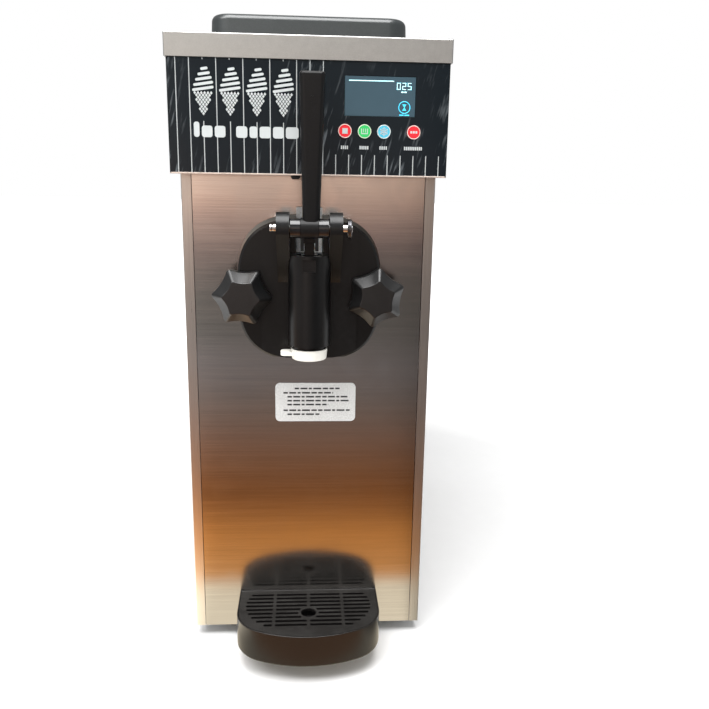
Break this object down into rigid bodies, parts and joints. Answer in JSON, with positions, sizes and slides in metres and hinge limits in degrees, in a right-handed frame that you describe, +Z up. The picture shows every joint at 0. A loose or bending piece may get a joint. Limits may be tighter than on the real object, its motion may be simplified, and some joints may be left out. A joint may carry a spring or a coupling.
{
  "type": "ice cream maker",
  "caption": "Countertop soft-serve ice cream maker with a lever dispensing head, star knobs, control hood, lidded mix hopper and a drip tray.",
  "frame": {"origin": "middle of the bounding box's underside, on the worktop under the feet", "axes": "+Z up, -Y out of the dispensing front, +X to the right seen from the front"},
  "size_m": [0.256, 0.562, 0.6628],
  "materials": {
    "brushed_steel": "brushed stainless sheet",
    "galvanised_steel": "galvanised sheet",
    "black_plastic": "moulded, satin",
    "gloss_black": "printed film, glossy",
    "black_rubber": "moulded rubber",
    "milky_plastic": "milky white moulding",
    "display_lens": "tinted display window",
    "red_key": "domed key film",
    "green_key": "domed key film",
    "blue_key": "domed key film",
    "foam": "closed-cell foam",
    "circuit_board": "solder mask",
    "dark_enamel": "baked enamel",
    "copper_pipe": "drawn copper",
    "condenser_fins": "plain fins",
    "label_paper": "printed film",
    "bright_steel": "polished"
  },
  "bodies": {
    "cabinet": {"base_pan": "galvanised_steel", "beater_motor": "dark_enamel", "compressor": "dark_enamel", "condenser": "condenser_fins", "control_board": "circuit_board", "cylinder_insulation": "foam", "discharge_pipe": "copper_pipe", "display_module": "display_lens", "door_gasket": "black_rubber", "draw_door": "black_plastic", "draw_sensor": "black_rubber", "drive_belt": "black_rubber", "drive_frame": "galvanised_steel", "fan_motor": "dark_enamel", "fan_shroud": "galvanised_steel", "fascia_panel": "gloss_black", "filter_drier": "copper_pipe", "foot_front_left": "black_rubber", "foot_front_right": "black_rubber", "foot_rear_left": "black_rubber", "foot_rear_right": "black_rubber", "freezing_cylinder": "brushed_steel", "front_panel": "brushed_steel", "gearbox": "galvanised_steel", "hood_shell": "brushed_steel", "hopper": "brushed_steel", "left_side_panel": "brushed_steel", "left_stud": "bright_steel", "liquid_pipe": "copper_pipe", "notch_plate": "milky_plastic", "note_label": "label_paper", "pivot_pin": "bright_steel", "power_box": "galvanised_steel", "power_inlet": "black_plastic", "rear_panel": "brushed_steel", "right_side_panel": "brushed_steel", "right_stud": "bright_steel", "shaft_seal": "black_rubber", "suction_pipe": "copper_pipe", "top_cover": "brushed_steel"},
    "lid": {"hopper_lid": "black_plastic"},
    "feed_tube": {"air_tube": "milky_plastic"},
    "dasher": {"beater": "milky_plastic", "drive_shaft": "bright_steel"},
    "driven_pulley": {"gearbox_pulley": "dark_enamel"},
    "driving_pulley": {"motor_pulley": "bright_steel"},
    "fan": {"fan_blade": "black_plastic"},
    "handle": {"draw_handle": "black_plastic"},
    "plunger": {"draw_plunger": "black_plastic", "plunger_ring_lower": "black_rubber", "plunger_ring_upper": "black_rubber"},
    "knob_left": {"left_knob": "black_plastic"},
    "knob_right": {"right_knob": "black_plastic"},
    "cap": {"nozzle_cap": "milky_plastic"},
    "tray": {"drip_tray": "black_plastic"},
    "grille": {"drip_grille": "black_plastic"},
    "key_stop": {"stop_key": "red_key"},
    "key_clean": {"clean_key": "green_key"},
    "key_cold": {"cold_key": "blue_key"},
    "key_set": {"set_key": "red_key"}
  },
  "joints": [
    {"name": "handle_pivot", "type": "hinge", "parent": "cabinet", "child": "handle", "pos_m": [0, -0.257, 0.4605], "axis": [1, 0, 0], "range_deg": [0, 60]},
    {"name": "plunger_slide", "type": "slide", "parent": "cabinet", "child": "plunger", "axis": [0, 0, 1], "range_m": [0, 0.027]},
    {"name": "left_knob_turn", "type": "hinge", "parent": "cabinet", "child": "knob_left", "pos_m": [-0.0643, -0.231, 0.3935], "axis": [0, 1, 0], "continuous": true},
    {"name": "right_knob_turn", "type": "hinge", "parent": "cabinet", "child": "knob_right", "pos_m": [0.0643, -0.231, 0.3935], "axis": [0, 1, 0], "continuous": true},
    {"name": "cap_pull", "type": "slide", "parent": "cabinet", "child": "cap", "axis": [0, 0, -1], "range_m": [0, 0.06]},
    {"name": "tray_slide", "type": "slide", "parent": "cabinet", "child": "tray", "axis": [0, -1, 0], "range_m": [0, 0.1]},
    {"name": "grille_lift", "type": "slide", "parent": "tray", "child": "grille", "axis": [0, 0, 1], "range_m": [0, 0.06]},
    {"name": "lid_lift", "type": "slide", "parent": "cabinet", "child": "lid", "axis": [0, 0, 1], "range_m": [0, 0.15]},
    {"name": "air_tube_lift", "type": "slide", "parent": "cabinet", "child": "feed_tube", "axis": [0, 0, 1], "range_m": [0, 0.05]},
    {"name": "driven_pulley_spin", "type": "hinge", "parent": "cabinet", "child": "driven_pulley", "pos_m": [0, 0.1059, 0.3975], "axis": [0, 1, 0], "continuous": true},
    {"name": "driving_pulley_spin", "type": "hinge", "parent": "cabinet", "child": "driving_pulley", "pos_m": [0, 0.1059, 0.2615], "axis": [0, 1, 0], "continuous": true},
    {"name": "dasher_spin", "type": "hinge", "parent": "cabinet", "child": "dasher", "pos_m": [0, -0.08, 0.3975], "axis": [0, 1, 0], "continuous": true},
    {"name": "fan_spin", "type": "hinge", "parent": "cabinet", "child": "fan", "pos_m": [0, 0.206, 0.1135], "axis": [0, 1, 0], "continuous": true},
    {"name": "stop_press", "type": "slide", "parent": "cabinet", "child": "key_stop", "axis": [0, 1, 0], "range_m": [0, 0.0006], "stiffness_N_per_m": 600},
    {"name": "clean_press", "type": "slide", "parent": "cabinet", "child": "key_clean", "axis": [0, 1, 0], "range_m": [0, 0.0006], "stiffness_N_per_m": 600},
    {"name": "cold_press", "type": "slide", "parent": "cabinet", "child": "key_cold", "axis": [0, 1, 0], "range_m": [0, 0.0006], "stiffness_N_per_m": 600},
    {"name": "set_press", "type": "slide", "parent": "cabinet", "child": "key_set", "axis": [0, 1, 0], "range_m": [0, 0.0006], "stiffness_N_per_m": 600}
  ],
  "couplings": [
    {"joint": "plunger_slide", "follows": "handle_pivot", "m_per_rad": 0.0255},
    {"joint": "driving_pulley_spin", "follows": "driven_pulley_spin", "ratio": 2.5556},
    {"joint": "dasher_spin", "follows": "driven_pulley_spin", "ratio": 0.25}
  ]
}
